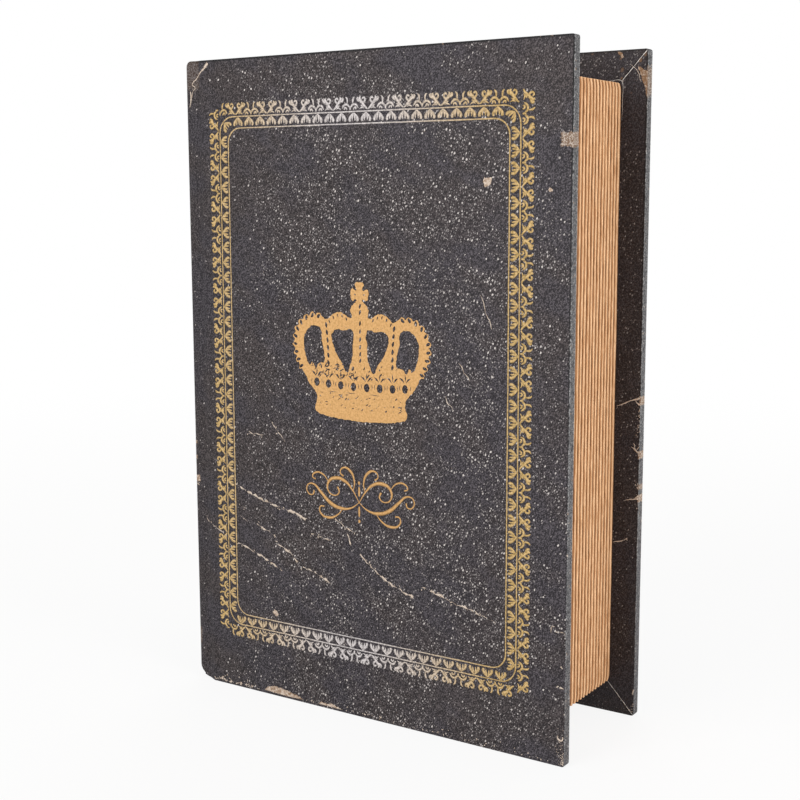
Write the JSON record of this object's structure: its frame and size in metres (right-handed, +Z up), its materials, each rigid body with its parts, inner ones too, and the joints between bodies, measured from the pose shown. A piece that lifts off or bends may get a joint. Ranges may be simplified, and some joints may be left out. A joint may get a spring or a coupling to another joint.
{
  "type": "book box",
  "caption": "Storage box made like a closed leatherette-bound book, with a hinged front cover over a tray behind ribbed page edges.",
  "frame": {"origin": "middle of the footprint, on the surface that the box stands on", "axes": "+Z runs up the spine from tail to head, +X points from the spine to the fore edge, -Y is the outer face of the front cover"},
  "size_m": [0.2064, 0.074, 0.3],
  "materials": {
    "leatherette": "printed and embossed, satin",
    "greyboard": "raw",
    "fibreboard": "raw fibreboard",
    "page_paper": "ribbed, satin",
    "lining_paper": "matte",
    "magnet": "nickel plated"
  },
  "bodies": {
    "root": {"joint_strip": "leatherette", "joint_lining": "lining_paper", "spine_board": "fibreboard", "spine_covering": "leatherette", "back_board": "greyboard", "back_covering": "leatherette", "fore_edge_wall": "fibreboard", "head_wall": "fibreboard", "tail_wall": "fibreboard", "spine_wall": "fibreboard", "tray_floor": "fibreboard", "page_wrap": "page_paper", "rim_paper": "lining_paper", "wall_lining": "lining_paper", "floor_lining": "lining_paper", "tray_magnets": "magnet"},
    "lid": {"front_board": "greyboard", "front_covering": "leatherette", "front_lining": "lining_paper", "lid_magnets": "magnet"}
  },
  "joints": [
    {"name": "cover_hinge", "type": "hinge", "parent": "root", "child": "lid", "pos_m": [-0.09315, -0.03685, 0.15], "axis": [0, 0, -1], "range_deg": [0, 175], "deforming": ["joint_strip", "joint_lining"]}
  ]
}
